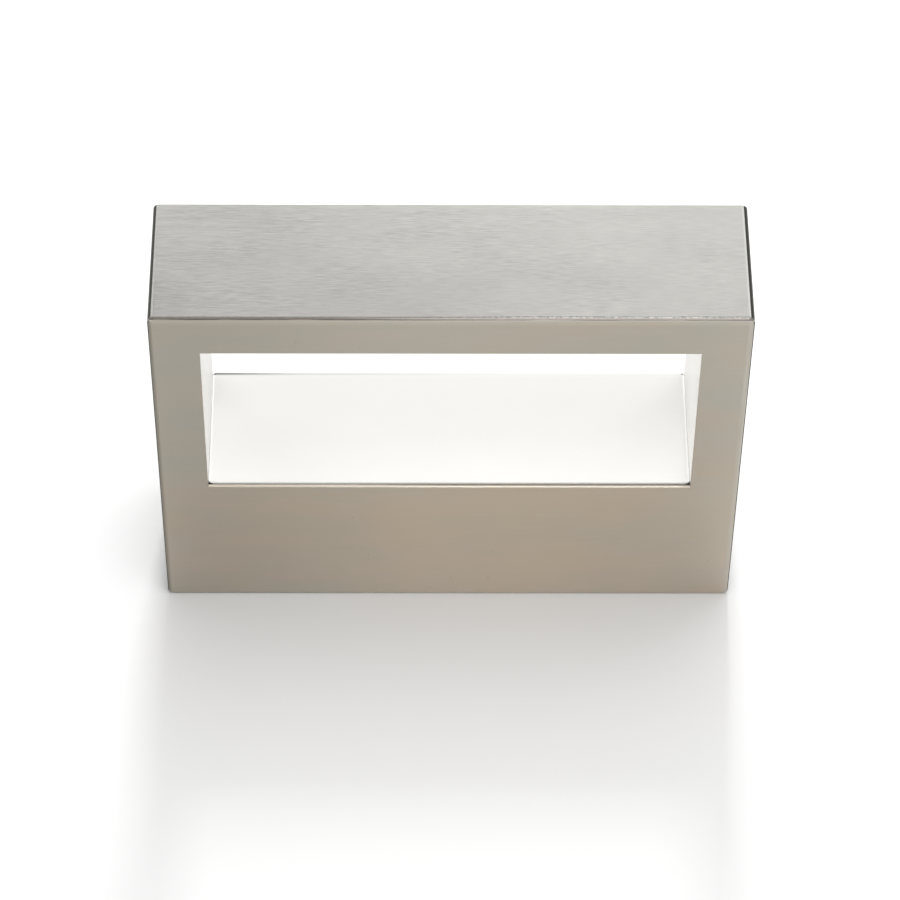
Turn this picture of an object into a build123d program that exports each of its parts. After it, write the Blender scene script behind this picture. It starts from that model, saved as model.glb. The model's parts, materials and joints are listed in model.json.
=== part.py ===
from build123d import *
import os

os.makedirs("parts", exist_ok=True)

# An outdoor wall light: a folded stainless box with a see-through window, lit from the lintel.
# Sizes are in millimetres. X runs to the right, Z up, and the wall lies behind the light at +Y.
# The origin is midway between the two wall screws, on the back face of the wall plate.

# Casing of brushed sheet, folded round the sides and closed by a front plate
window_width = 150.0
window_height = 64.5
post_width = 15.0
lintel_height = 15.5
base_height = 55.0
casing_depth = 46.0
sheet = 1.2
bend_radius = 2.0
edge_round = 0.6
window_edge_round = 0.2
seam_bevel = 0.3
rim_gap = 0.5

# White lining of the window: two walls and a ceiling, with a loose tray as the sill
lining_sheet = 1.0
lining_bend = 1.5
lining_flange = 9.0
lining_drop = 12.0
lining_stud_inset = 9.0
sill_side_gap = 0.03
sill_front_gap = 0.65
sill_fall = 0.9
sill_bend = 0.4
sill_corner = 1.2
sill_skirt = 10.0
sill_screw_drop = 6.0
sill_screw_inset = 10.0
sill_screw_reach = 2.0

# Lamp in the lintel: a slot in the ceiling, an opal diffuser over it and the board above
light_slot_inset = 12.0
light_slot_width = 11.0
diffuser_lap = 3.0
diffuser_rim = 2.0
diffuser_gap = 0.2
seal_thickness = 0.8
channel_wall = 1.5
channel_foot = 6.5
channel_gap = 0.5
channel_overhang = 3.0
channel_rib = 1.4
channel_stud_inset = 14.0
pad_thickness = 0.5
board_width = 10.0
board_thickness = 1.6
board_screw_inset = 14.0
led_pitch = 12.0
led_length = 3.5
led_width = 2.8
led_height = 0.7
connector_length = 7.0
connector_width = 6.0
connector_height = 3.0

# Control gear on a tray behind the front plate
tray_sheet = 1.0
tray_standoff = 3.0
tray_margin = 10.0
tray_height = 32.0
tray_corner = 2.0
tray_stud_inset = 5.0
standoff_radius = 3.0
driver_length = 78.0
driver_height = 28.0
driver_depth = 20.0
driver_ear = 6.0
driver_ear_width = 12.0
driver_ear_thickness = 3.0
moulding_round = 1.0
earth_gap = 9.0
terminal_gap = 14.0
terminal_length = 18.0
terminal_depth = 16.0
pole_pitch = 10.0
pole_count = 3
pole_depth = 9.0
sleeve_radius = 2.5
sleeve_bore = 1.7
sleeve_inset = 2.0
clamp_screw_inset = 5.0
tag_radius = 4.0
tag_thickness = 0.8
tag_barrel_length = 6.0
tag_barrel_radius = 1.7
tag_bore = 1.15

# Leads inside the light
lead_radius = 1.1
led_lead_radius = 1.5
led_lead_bend = 8.0
lead_clip_side = 6.0

# Wall plate, a flanged frame that stays on the wall inside the casing
plate_sheet = 1.5
plate_corner = 3.0
plate_flange = 8.0
plate_gap = 0.6
hang_gap = 0.3
clamp_clear = 1.2
fixing_spacing = 90.0
fixing_slot_length = 12.0
fixing_slot_radius = 2.5
gasket_thickness = 1.5
gasket_inset = 1.0
gasket_strip = 5.0
cable_radius = 4.0
grommet_neck = 6.0
grommet_flange_radius = 9.0
grommet_flange = 1.3

# Retaining screws in the underside
retaining_x = 60.0
retaining_recess = 0.3
retaining_tip = 0.4
retaining_socket_flats = 2.0
retaining_socket_depth = 2.5

# Standard fasteners
small_screw = {"radius": 1.25, "head_radius": 2.1, "head": 1.5, "hole": 1.4, "cross": 2.4}
m3 = {
    "radius": 1.5, "head_radius": 2.75, "head": 1.9, "hole": 1.7, "cross": 3.2, "nut_flats": 5.5, "nut": 2.4
}
m4 = {"radius": 2.0, "hole": 2.2, "nut_flats": 7.0, "nut": 3.2}
thread_show = 1.0
head_round = 0.6
cross_width = 0.7
cross_depth = 0.9
slip_fit = 0.05

# Widths and depths that follow
window_half = window_width / 2
lining_half = window_half + lining_sheet
casing_half = window_half + post_width
inner_half = casing_half - sheet
rim = gasket_thickness - rim_gap
front = rim - casing_depth
front_inner = front + sheet
lining_front = front_inner + lining_sheet

# Heights that follow, with the wall screws midway up the wall plate's lower part
clamp_room = m4["nut"] + clamp_clear
bottom = -(sheet + clamp_room + base_height - lining_drop - plate_gap) / 2
floor_inner = bottom + sheet
sill = bottom + base_height
head = sill + window_height
ceiling_top = head + lining_sheet
top = head + lintel_height
top_inner = top - sheet

# Outline of the wall plate, and the screws that bear on its lower flange
plate_half = inner_half - plate_gap
plate_bottom = floor_inner + clamp_room
plate_top = top_inner - hang_gap
plate_sill = sill - lining_drop - plate_gap
plate_head = ceiling_top + plate_gap
plate_window_half = lining_half + plate_gap
retaining_y = -(plate_flange + plate_sheet) / 2

# Lining fasteners
lining_stud_x = (lining_half + window_half + lining_flange) / 2
lining_stud_zs = (sill + lining_stud_inset, head - lining_stud_inset)
sill_screw_z = sill - sill_screw_drop
sill_screw_ys = (lining_front + sill_screw_inset, -sill_screw_inset)

# Lamp, centred in the lintel between the lining's flange and the wall plate
lamp_y = (lining_front - plate_sheet) / 2
light_slot_length = window_width - 2 * light_slot_inset
rim_length = light_slot_length + 2 * diffuser_lap
rim_width = light_slot_width + 2 * diffuser_lap
rim_low = ceiling_top + seal_thickness
rim_high = rim_low + diffuser_rim
channel_length = rim_length + 2 * channel_overhang
channel_inside = rim_width / 2 + channel_gap
channel_outside = channel_inside + channel_wall
channel_edge = channel_outside + channel_foot
channel_foot_top = ceiling_top + channel_wall
channel_top = top_inner - pad_thickness
channel_stud_x = channel_length / 2 - channel_stud_inset
channel_stud_y = channel_outside + channel_foot / 2
board_high = channel_top - channel_wall
board_low = board_high - board_thickness
board_half = rim_length / 2
board_screw_x = board_half - board_screw_inset

# Gear, from the left: driver, earth pillar, terminal block
gear_length = driver_length + earth_gap + terminal_gap + terminal_length
gear_z = (floor_inner + sill - lining_drop) / 2
tray_half = gear_length / 2 + tray_margin
tray_front = front_inner + tray_standoff
tray_back = tray_front + tray_sheet
tray_stud_x = tray_half - tray_stud_inset
tray_stud_z = tray_height / 2 - tray_stud_inset
driver_left = -gear_length / 2
driver_right = driver_left + driver_length
driver_screw_xs = (driver_left + driver_ear / 2, driver_right - driver_ear / 2)
ear_back = tray_back + driver_ear_thickness
earth_x = driver_right + earth_gap
terminal_left = earth_x + terminal_gap
terminal_right = terminal_left + terminal_length
terminal_mid = (terminal_left + terminal_right) / 2
terminal_back = tray_back + terminal_depth
clamp_screw_xs = (terminal_left + clamp_screw_inset, terminal_right - clamp_screw_inset)
pole_y = tray_back + pole_depth
pole_zs = [gear_z + pole_pitch * ((pole_count - 1) / 2 - i) for i in range(pole_count)]
terminal_fixing_zs = [(above + below) / 2 for above, below in zip(pole_zs, pole_zs[1:])]
earth_z = pole_zs[-1]
pillar_top = pole_y - tag_thickness / 2
tag_top = pillar_top + tag_thickness
barrel_start = earth_x + tag_radius
lead_end = clamp_screw_xs[0] + small_screw["radius"]

# Route of the LED lead, up inside the left post
post_x = -(lining_half + inner_half) / 2
led_lead_z = board_low - connector_height / 2


def about(middle, half):
    """The low and high end of a span with this middle and half length."""
    return (middle - half, middle + half)


def both(value):
    """The value on the left and on the right."""
    return (-value, value)


def box(x, y, z):
    """A block between the low and high end of each axis."""
    spans = (x, y, z)
    middle = [(low + high) / 2 for low, high in spans]
    return Pos(*middle) * Box(*[high - low for low, high in spans])


def sloped_box(x, y, z, fall):
    """A block whose top falls this far from its rear to its front, where it is as high as z says."""
    (front_y, rear_y), (low, high) = y, z
    outline = Polygon((front_y, low), (rear_y, low), (rear_y, high + fall), (front_y, high))
    return extrude(Plane.YZ.offset(x[0]) * outline, amount=x[1] - x[0])


def panel(x, z, y, radius):
    """A flat piece facing the front, with rounded corners, between two depths."""
    outline = RectangleRounded(x[1] - x[0], z[1] - z[0], radius)
    outline = Pos((x[0] + x[1]) / 2, (z[0] + z[1]) / 2) * outline
    return extrude(Plane.XZ.offset(-y[1]) * outline, amount=y[1] - y[0])


def rod(start, end, radius):
    """A round bar from one point to another."""
    run = Vector(*end) - Vector(*start)
    return extrude(Plane(start, z_dir=run) * Circle(radius), amount=run.length)


def rod_x(x, y, z, radius):
    """A round bar along X."""
    return rod((x[0], y, z), (x[1], y, z), radius)


def rod_y(x, y, z, radius):
    """A round bar along Y."""
    return rod((x, y[0], z), (x, y[1], z), radius)


def rod_z(x, y, z, radius):
    """A round bar along Z."""
    return rod((x, y, z[0]), (x, y, z[1]), radius)


def hexagon(start, end, flats):
    """A six-sided bar from one point to another, given across its flats."""
    run = Vector(*end) - Vector(*start)
    outline = RegularPolygon(flats / 2, 6, major_radius=False)
    return extrude(Plane(start, z_dir=run) * outline, amount=run.length)


def moved(point, way, distance):
    """The point moved along a direction."""
    return tuple(p + w * distance for p, w in zip(point, way))


def screw(seat, way, length, size):
    """A pan-head screw with its head on the seat, its shank running the given way and a driver cross."""
    crown = moved(seat, way, -size["head"])
    head = rod(crown, seat, size["head_radius"])
    head = fillet(head.edges().filter_by(GeomType.CIRCLE).sort_by_distance(crown)[0], head_round)
    for sides in ((size["cross"], cross_width), (cross_width, size["cross"])):
        head -= extrude(Plane(crown, z_dir=way) * Rectangle(*sides), amount=cross_depth)
    return head + rod(seat, moved(seat, way, length), size["radius"])


def nut(seat, way, size):
    """A nut that stands on the seat, open for its thread, with its far corners turned off."""
    far = moved(seat, way, size["nut"])
    corners = size["nut_flats"] / 3**0.5
    turned = rod(seat, far, corners)
    far_edge = turned.edges().filter_by(GeomType.CIRCLE).sort_by_distance(far)[0]
    turned = chamfer(far_edge, corners - size["nut_flats"] / 2)
    return (turned & hexagon(seat, far, size["nut_flats"])) - rod(seat, far, size["radius"] + slip_fit)


# Fastener places that several pieces share
lining_studs_at = [(x, z) for x in both(lining_stud_x) for z in lining_stud_zs]
channel_studs_at = [(x, lamp_y + y) for x in both(channel_stud_x) for y in both(channel_stud_y)]
tray_studs_at = [(x, gear_z + z) for x in both(tray_stud_x) for z in both(tray_stud_z)]


def front_plate():
    """Window frame of brushed sheet, ground round along its outer edge and bevelled at the weld."""
    plate = panel(both(casing_half), (bottom, top), (front, front_inner), bend_radius)
    plate = fillet(plate.edges().group_by(Axis.Y)[0], edge_round)
    plate = chamfer(plate.edges().group_by(Axis.Y)[-1], seam_bevel)
    plate -= box(both(window_half), (front, front_inner), (sill, head))
    inside = plate.edges().group_by(Axis.Y)[0]
    inside = inside.filter_by_position(Axis.X, *both(window_half + window_edge_round))
    inside = inside.filter_by_position(Axis.Z, sill - window_edge_round, head + window_edge_round)
    return fillet(inside, window_edge_round)


def outer_band():
    """Brushed sheet folded round the top, the sides and the underside, with two screw holes below."""
    band = panel(both(casing_half), (bottom, top), (front_inner, rim), bend_radius)
    band = chamfer(band.edges().group_by(Axis.Y)[0], seam_bevel)
    inner_bend = bend_radius - sheet
    band -= panel(both(inner_half), (floor_inner, top_inner), (front_inner, rim), inner_bend)
    for x in both(retaining_x):
        band -= rod_z(x, retaining_y, (bottom, floor_inner), m4["hole"])
    return band


def window_lining():
    """White sheet that forms the window's walls and ceiling, flanged against the front plate."""
    y = (front_inner, rim)
    low = sill - lining_drop
    outer = box(both(lining_half), y, (low, ceiling_top))
    outer = fillet(outer.edges().filter_by(Axis.Y).group_by(Axis.Z)[-1], lining_bend)
    inner = box(both(window_half), y, (low, head))
    inner = fillet(inner.edges().filter_by(Axis.Y).group_by(Axis.Z)[-1], lining_bend - lining_sheet)
    flange_x = both(window_half + lining_flange)
    flange = box(flange_x, (front_inner, lining_front), (sill, head + lining_flange))
    lining = outer + flange - inner
    lining -= box(both(light_slot_length / 2), about(lamp_y, light_slot_width / 2), (head, ceiling_top))
    for x, z in lining_studs_at:
        lining -= rod_y(x, (front_inner, lining_front), z, m3["hole"])
    for screw_y in sill_screw_ys:
        lining -= rod_x(both(lining_half), screw_y, sill_screw_z, m3["hole"])
    return lining


def lining_studs():
    """Studs welded to the back of the front plate that hold the lining's flange."""
    y = (front_inner, lining_front + m3["nut"] + thread_show)
    return [rod_y(x, y, z, m3["radius"]) for x, z in lining_studs_at]


def lining_nuts():
    """Nuts on the lining's flange."""
    return [nut((x, lining_front, z), (0, 1, 0), m3) for x, z in lining_studs_at]


def sill_tray():
    """White tray, open below, that is the window's floor and falls to the front so that rain runs off it.
    Its skirts screw to the lining's walls."""
    half = window_half - sill_side_gap
    y = (front_inner + sill_front_gap, rim)
    low = sill - sill_skirt
    tray = sloped_box(both(half), y, (low, sill), sill_fall)
    tray = fillet(tray.edges().filter_by(Axis.Z), sill_corner)
    tray = fillet(tray.faces().sort_by(Axis.Z)[-1].edges(), sill_bend)
    hollow = sloped_box(both(half - lining_sheet), y, (low, sill - lining_sheet), sill_fall)
    tray -= hollow & box(both(half), (y[0] + lining_sheet, y[1] - lining_sheet), (low, sill + sill_fall))
    for screw_y in sill_screw_ys:
        tray -= rod_x(both(half), screw_y, sill_screw_z, m3["hole"])
    return tray


def sill_screws():
    """Screws from the posts through the lining's walls into the tray's skirts."""
    grip = 2 * lining_sheet + sill_side_gap + sill_screw_reach
    left = [screw((-lining_half, y, sill_screw_z), (1, 0, 0), grip, m3) for y in sill_screw_ys]
    right = [screw((lining_half, y, sill_screw_z), (-1, 0, 0), grip, m3) for y in sill_screw_ys]
    return left + right


def diffuser():
    """Opal strip with a rim above the ceiling and a lower face that fills the slot."""
    lens_x = both(light_slot_length / 2 - diffuser_gap)
    lens_y = about(lamp_y, light_slot_width / 2 - diffuser_gap)
    lens = box(lens_x, lens_y, (head, rim_low))
    return lens + box(both(rim_length / 2), about(lamp_y, rim_width / 2), (rim_low, rim_high))


def diffuser_seal():
    """Soft frame between the diffuser's rim and the ceiling."""
    z = (ceiling_top, rim_low)
    frame = box(both(rim_length / 2), about(lamp_y, rim_width / 2), z)
    return frame - box(both(light_slot_length / 2), about(lamp_y, light_slot_width / 2), z)


def lamp_channel():
    """Aluminium section: a web over the board, legs with feet, and ribs that press on the diffuser."""
    x = both(channel_length / 2)
    channel = box(x, about(lamp_y, channel_edge), (ceiling_top, channel_foot_top))
    channel += box(x, about(lamp_y, channel_outside), (ceiling_top, channel_top))
    channel -= box(x, about(lamp_y, channel_inside), (ceiling_top, rim_high))
    channel -= box(x, about(lamp_y, channel_inside - channel_rib), (rim_high, rim_high + channel_wall))
    channel -= box(x, about(lamp_y, channel_inside), (rim_high + channel_wall, board_high))
    for stud_x, stud_y in channel_studs_at:
        channel -= rod_z(stud_x, stud_y, (ceiling_top, channel_foot_top), m3["hole"])
    for screw_x in both(board_screw_x):
        channel -= rod_z(screw_x, lamp_y, (board_high, channel_top), small_screw["hole"])
    return channel


def thermal_pad():
    """Pad that carries the channel's heat into the casing's top."""
    return box(both(channel_length / 2), about(lamp_y, channel_outside), (channel_top, top_inner))


def channel_studs():
    """Studs on the ceiling that hold the channel's feet."""
    z = (ceiling_top, channel_foot_top + m3["nut"] + thread_show)
    return [rod_z(x, y, z, m3["radius"]) for x, y in channel_studs_at]


def channel_nuts():
    """Nuts on the channel's feet."""
    return [nut((x, y, channel_foot_top), (0, 0, 1), m3) for x, y in channel_studs_at]


def led_board():
    """Board under the channel's web."""
    board = box(both(board_half), about(lamp_y, board_width / 2), (board_low, board_high))
    for x in both(board_screw_x):
        board -= rod_z(x, lamp_y, (board_low, board_high), small_screw["hole"])
    return board


def led_chips():
    """A row of chips between the board's two screws."""
    reach = board_screw_x - small_screw["head_radius"] - led_length
    steps = int(reach / led_pitch)
    y = about(lamp_y, led_width / 2)
    z = (board_low - led_height, board_low)
    return [box(about(i * led_pitch, led_length / 2), y, z) for i in range(-steps, steps + 1)]


def board_screws():
    """Screws through the board into the channel's web."""
    grip = board_thickness + channel_wall
    return [screw((x, lamp_y, board_low), (0, 0, 1), grip, small_screw) for x in both(board_screw_x)]


def board_connector():
    """Socket for the LED lead at the board's left end."""
    x = (-board_half, -board_half + connector_length)
    return box(x, about(lamp_y, connector_width / 2), (board_low - connector_height, board_low))


def gear_tray():
    """Plated sheet that carries the driver and the terminal block."""
    y = (tray_front, tray_back)
    tray = panel(both(tray_half), about(gear_z, tray_height / 2), y, tray_corner)
    for x, z in tray_studs_at:
        tray -= rod_y(x, y, z, m4["hole"])
    for x in driver_screw_xs:
        tray -= rod_y(x, y, gear_z, m3["hole"])
    for z in terminal_fixing_zs:
        tray -= rod_y(terminal_mid, y, z, m3["hole"])
    return tray


def tray_studs():
    """Stepped studs welded to the front plate: the step keeps the tray off it."""
    step = (front_inner, tray_front)
    thread = (tray_front, tray_back + m4["nut"] + thread_show)
    return [rod_y(x, step, z, standoff_radius) + rod_y(x, thread, z, m4["radius"]) for x, z in tray_studs_at]


def tray_nuts():
    """Nuts on the gear tray."""
    return [nut((x, tray_back, z), (0, 1, 0), m4) for x, z in tray_studs_at]


def led_driver():
    """Sealed driver case with a fixing ear at each end."""
    body_x = (driver_left + driver_ear, driver_right - driver_ear)
    case = box(body_x, (tray_back, tray_back + driver_depth), about(gear_z, driver_height / 2))
    case = fillet(case.edges().filter_by(Axis.Y) + case.faces().sort_by(Axis.Y)[-1].edges(), moulding_round)
    ear_y = (tray_back, ear_back)
    case += panel((driver_left, driver_right), about(gear_z, driver_ear_width / 2), ear_y, moulding_round)
    for x in driver_screw_xs:
        case -= rod_y(x, ear_y, gear_z, m3["hole"])
    return case


def driver_screws():
    """Screws through the driver's ears into the tray."""
    grip = driver_ear_thickness + tray_sheet + thread_show
    return [screw((x, ear_back, gear_z), (0, -1, 0), grip, m3) for x in driver_screw_xs]


def terminal_block():
    """Moulded block with a wire tunnel for each pole and a well over each clamp screw."""
    x = (terminal_left, terminal_right)
    block = box(x, (tray_back, terminal_back), about(gear_z, pole_count * pole_pitch / 2))
    block = fillet(block.faces().sort_by(Axis.Y)[-1].edges(), moulding_round)
    well = small_screw["head_radius"] + slip_fit
    for z in pole_zs:
        block -= rod_x(x, pole_y, z, sleeve_radius + slip_fit)
        for screw_x in clamp_screw_xs:
            block -= rod_y(screw_x, (pole_y, terminal_back), z, well)
    for z in terminal_fixing_zs:
        block -= rod_y(terminal_mid, (tray_back, terminal_back), z, m3["hole"])
    return block


def terminal_sleeve(z):
    """Brass sleeve in a tunnel, tapped for its two clamp screws."""
    x = (terminal_left + sleeve_inset, terminal_right - sleeve_inset)
    sleeve = rod_x(x, pole_y, z, sleeve_radius) - rod_x(x, pole_y, z, sleeve_bore)
    for screw_x in clamp_screw_xs:
        sleeve -= rod_y(screw_x, (pole_y, pole_y + sleeve_radius), z, small_screw["hole"])
    return sleeve


def terminal_screws():
    """Clamp screws whose tips press on the wires."""
    seat = pole_y + sleeve_radius + slip_fit
    grip = sleeve_radius - lead_radius
    places = [(x, seat, z) for z in pole_zs for x in clamp_screw_xs]
    return [screw(place, (0, -1, 0), grip, small_screw) for place in places]


def terminal_fixing_screws():
    """Screws between the poles that hold the block on the tray."""
    grip = terminal_depth + tray_sheet + thread_show
    return [screw((terminal_mid, terminal_back, z), (0, -1, 0), grip, m3) for z in terminal_fixing_zs]


def earth_pillar():
    """Brass pillar on the tray with a stud for the earth tag."""
    pillar = hexagon((earth_x, tray_back, earth_z), (earth_x, pillar_top, earth_z), m4["nut_flats"])
    return pillar + rod_y(earth_x, (pillar_top, tag_top + m4["nut"] + thread_show), earth_z, m4["radius"])


def earth_tag():
    """Ring tag under the earth nut, with a barrel crimped on the earth lead."""
    y = (pillar_top, tag_top)
    bore_x = (barrel_start + tag_bore, barrel_start + tag_barrel_length)
    tag = rod_y(earth_x, y, earth_z, tag_radius)
    tag += box((earth_x, bore_x[0]), y, about(earth_z, tag_barrel_radius))
    tag += rod_x((barrel_start, bore_x[1]), pole_y, earth_z, tag_barrel_radius)
    tag -= rod_x(bore_x, pole_y, earth_z, tag_bore)
    return tag - rod_y(earth_x, y, earth_z, m4["hole"])


def earth_nut():
    """Nut that clamps the earth tag."""
    return nut((earth_x, tag_top, earth_z), (0, 1, 0), m4)


def supply_lead(z):
    """Lead from the driver's right end into a terminal sleeve."""
    return rod_x((driver_right - driver_ear, lead_end), pole_y, z, lead_radius)


def earth_lead():
    """Lead from the earth tag's barrel into the last sleeve."""
    return rod_x((barrel_start + tag_bore, lead_end), pole_y, earth_z, lead_radius)


def led_lead():
    """Two-core lead from the driver's left end, up inside the post and along to the board's connector."""
    start = (driver_left + driver_ear, lamp_y, gear_z)
    turn_up = (post_x, lamp_y, gear_z)
    turn_in = (post_x, lamp_y, led_lead_z)
    end = (-board_half, lamp_y, led_lead_z)
    path = FilletPolyline(start, turn_up, turn_in, end, radius=led_lead_bend)
    return sweep(Plane(start, z_dir=(-1, 0, 0)) * Circle(led_lead_radius), path=path)


def lead_clip():
    """Block on the lining's outer face that holds the LED lead halfway up the post."""
    half = lead_clip_side / 2
    z = about((sill + head) / 2, half)
    clip = box((post_x - half, -lining_half), about(lamp_y, half), z)
    return clip - rod_z(post_x, lamp_y, z, led_lead_radius + slip_fit)


def clamp_nut(x):
    """Nut welded inside the underside for a retaining screw."""
    z = (floor_inner, floor_inner + m4["nut"])
    outside = hexagon((x, retaining_y, z[0]), (x, retaining_y, z[1]), m4["nut_flats"])
    return outside - rod_z(x, retaining_y, z, m4["radius"])


def retaining_screw(x):
    """Socket screw from below whose flat tip bears on the wall plate's lower flange."""
    low = bottom + retaining_recess
    body = rod_z(x, retaining_y, (low, plate_bottom), m4["radius"] - slip_fit)
    body = chamfer(body.edges().group_by(Axis.Z)[-1], retaining_tip)
    socket_end = low + retaining_socket_depth
    return body - hexagon((x, retaining_y, low), (x, retaining_y, socket_end), retaining_socket_flats)


def wall_plate():
    """Plated frame with a flange all round its outer edge, slotted for two wall screws."""
    plate = panel(both(plate_half), (plate_bottom, plate_top), (-plate_flange, 0), plate_corner)
    inside_z = (plate_bottom + plate_sheet, plate_top - plate_sheet)
    inside_corner = plate_corner - plate_sheet
    plate -= panel(both(plate_half - plate_sheet), inside_z, (-plate_flange, -plate_sheet), inside_corner)
    plate -= panel(both(plate_window_half), (plate_sill, plate_head), (-plate_sheet, 0), plate_gap)
    slot = extrude(Plane.XZ * SlotOverall(fixing_slot_length, 2 * fixing_slot_radius), amount=plate_sheet)
    for x in both(fixing_spacing / 2):
        plate -= Pos(x, 0, 0) * slot
    return plate - rod_y(0, (-plate_sheet, 0), 0, grommet_neck)


def wall_gasket():
    """Foam frame on the back of the wall plate, open round the wall screws and the cable."""
    y = (0, gasket_thickness)
    outer = plate_half - gasket_inset
    border = gasket_inset + gasket_strip
    window_z = (plate_sill - gasket_inset, plate_head + gasket_inset)
    gasket = panel(both(outer), (plate_bottom + gasket_inset, plate_top - gasket_inset), y, plate_corner)
    gasket -= panel(both(plate_window_half + gasket_inset), window_z, y, plate_corner)
    pocket_z = (plate_bottom + border, plate_sill - border)
    return gasket - panel(both(outer - gasket_strip), pocket_z, y, plate_corner)


def cable_grommet():
    """Rubber bush with a groove that grips the wall plate round the cable hole."""
    front_face = -plate_sheet - grommet_flange
    grommet = rod_y(0, (-plate_sheet, 0), 0, grommet_neck - slip_fit)
    grommet += rod_y(0, (front_face, -plate_sheet), 0, grommet_flange_radius)
    grommet += rod_y(0, (0, grommet_flange), 0, grommet_flange_radius)
    return grommet - rod_y(0, (front_face, grommet_flange), 0, cable_radius)


nodes = {
    "front_plate": front_plate(),
    "outer_band": outer_band(),
    "window_lining": window_lining(),
    "lining_studs": lining_studs(),
    "lining_nuts": lining_nuts(),
    "sill_tray": sill_tray(),
    "sill_screws": sill_screws(),
    "diffuser": diffuser(),
    "diffuser_seal": diffuser_seal(),
    "lamp_channel": lamp_channel(),
    "thermal_pad": thermal_pad(),
    "channel_studs": channel_studs(),
    "channel_nuts": channel_nuts(),
    "led_board": led_board(),
    "led_chips": led_chips(),
    "board_screws": board_screws(),
    "board_connector": board_connector(),
    "gear_tray": gear_tray(),
    "tray_studs": tray_studs(),
    "tray_nuts": tray_nuts(),
    "led_driver": led_driver(),
    "driver_screws": driver_screws(),
    "terminal_block": terminal_block(),
    "terminal_sleeves": [terminal_sleeve(z) for z in pole_zs],
    "terminal_screws": terminal_screws(),
    "terminal_fixing_screws": terminal_fixing_screws(),
    "earth_pillar": earth_pillar(),
    "earth_tag": earth_tag(),
    "earth_nut": earth_nut(),
    "live_lead": supply_lead(pole_zs[0]),
    "neutral_lead": supply_lead(pole_zs[1]),
    "earth_lead": earth_lead(),
    "led_lead": led_lead(),
    "lead_clip": lead_clip(),
    "clamp_nuts": [clamp_nut(x) for x in both(retaining_x)],
    "retaining_screw_left": retaining_screw(-retaining_x),
    "retaining_screw_right": retaining_screw(retaining_x),
    "wall_plate": wall_plate(),
    "wall_gasket": wall_gasket(),
    "cable_grommet": cable_grommet(),
}

for name, made in nodes.items():
    shape = Compound(made) if isinstance(made, list) else made
    export_step(shape, f"parts/{name}.step")
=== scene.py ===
import json
from math import pi, radians

import bmesh
import bpy
import numpy as np
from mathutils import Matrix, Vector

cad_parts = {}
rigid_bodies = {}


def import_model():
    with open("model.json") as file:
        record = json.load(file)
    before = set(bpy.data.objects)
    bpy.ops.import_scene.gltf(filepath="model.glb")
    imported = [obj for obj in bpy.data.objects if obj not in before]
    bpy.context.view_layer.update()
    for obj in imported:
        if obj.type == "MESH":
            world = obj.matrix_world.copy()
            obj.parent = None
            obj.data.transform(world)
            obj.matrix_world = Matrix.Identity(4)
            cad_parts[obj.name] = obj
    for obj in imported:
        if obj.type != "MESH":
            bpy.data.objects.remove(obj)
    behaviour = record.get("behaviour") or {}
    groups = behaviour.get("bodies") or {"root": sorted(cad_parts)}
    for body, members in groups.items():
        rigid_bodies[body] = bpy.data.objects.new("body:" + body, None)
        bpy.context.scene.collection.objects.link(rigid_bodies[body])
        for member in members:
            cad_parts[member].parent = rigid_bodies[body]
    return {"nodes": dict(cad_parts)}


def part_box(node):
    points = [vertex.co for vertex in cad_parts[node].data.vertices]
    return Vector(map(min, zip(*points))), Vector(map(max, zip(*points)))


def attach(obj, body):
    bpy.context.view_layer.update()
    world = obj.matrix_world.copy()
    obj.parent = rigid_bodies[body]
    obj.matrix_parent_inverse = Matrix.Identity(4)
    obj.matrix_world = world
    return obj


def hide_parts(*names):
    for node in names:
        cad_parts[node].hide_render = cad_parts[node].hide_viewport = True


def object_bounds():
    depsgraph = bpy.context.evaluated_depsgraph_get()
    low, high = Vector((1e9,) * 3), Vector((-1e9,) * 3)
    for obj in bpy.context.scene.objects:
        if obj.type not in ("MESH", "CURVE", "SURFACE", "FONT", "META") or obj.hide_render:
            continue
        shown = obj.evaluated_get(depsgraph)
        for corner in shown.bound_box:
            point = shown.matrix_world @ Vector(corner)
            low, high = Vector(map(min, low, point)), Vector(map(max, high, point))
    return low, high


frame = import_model()
cad_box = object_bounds()
nodes = frame["nodes"]


# Front plate: a stainless sheet with the window cut out of it, brushed from side to side.
# Its rim was welded to the band and then ground. Its rounded edges are painted dark as shade, most on the
# left, with a painted highlight along the top, and a narrow margin at the right is brighter and carries the
# grinder's marks.

def put(tree, socket, value):
    """Feeds a socket from another node, or sets its number, its place or the three shares of its colour."""
    if isinstance(value, bpy.types.NodeSocket):
        tree.links.new(value, socket)
    elif socket.type == "RGBA":
        socket.default_value = (*value, 1.0)
    else:
        socket.default_value = value


def shader_node(tree, kind, **inputs):
    """Adds a shader node and sets or links its inputs, whose names have _ for a space."""
    node = tree.nodes.new("ShaderNode" + kind)
    for name, value in inputs.items():
        put(tree, node.inputs[name.replace("_", " ")], value)
    return node


def start_finish(name, **values):
    """A new finish, its node tree and its shader, with the values that are the same all over."""
    finish = bpy.data.materials.new(name)
    finish.use_nodes = True
    shader = finish.node_tree.nodes["Principled BSDF"]
    for socket, value in values.items():
        shader.inputs[socket.replace("_", " ")].default_value = value
    return finish, finish.node_tree, shader


def axes(tree, kind):
    """The x, y and z of a point's place (Object) or of the way its surface faces (Normal)."""
    vector = shader_node(tree, "TexCoord").outputs[kind]
    return shader_node(tree, "SeparateXYZ", Vector=vector).outputs


def grain(tree, cells, detail=3.0, waviness=0.0):
    """Noise in the piece's own place, with this many cells to the metre every way, or along x, y and z."""
    place = shader_node(tree, "TexCoord").outputs["Object"]
    cells = cells if isinstance(cells, tuple) else (cells, cells, cells)
    drawn = shader_node(tree, "Mapping", Vector=place, Scale=cells).outputs["Vector"]
    noise = shader_node(tree, "TexNoise", Vector=drawn, Scale=1.0, Detail=detail, Distortion=waviness)
    return noise.outputs["Fac"]


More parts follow.
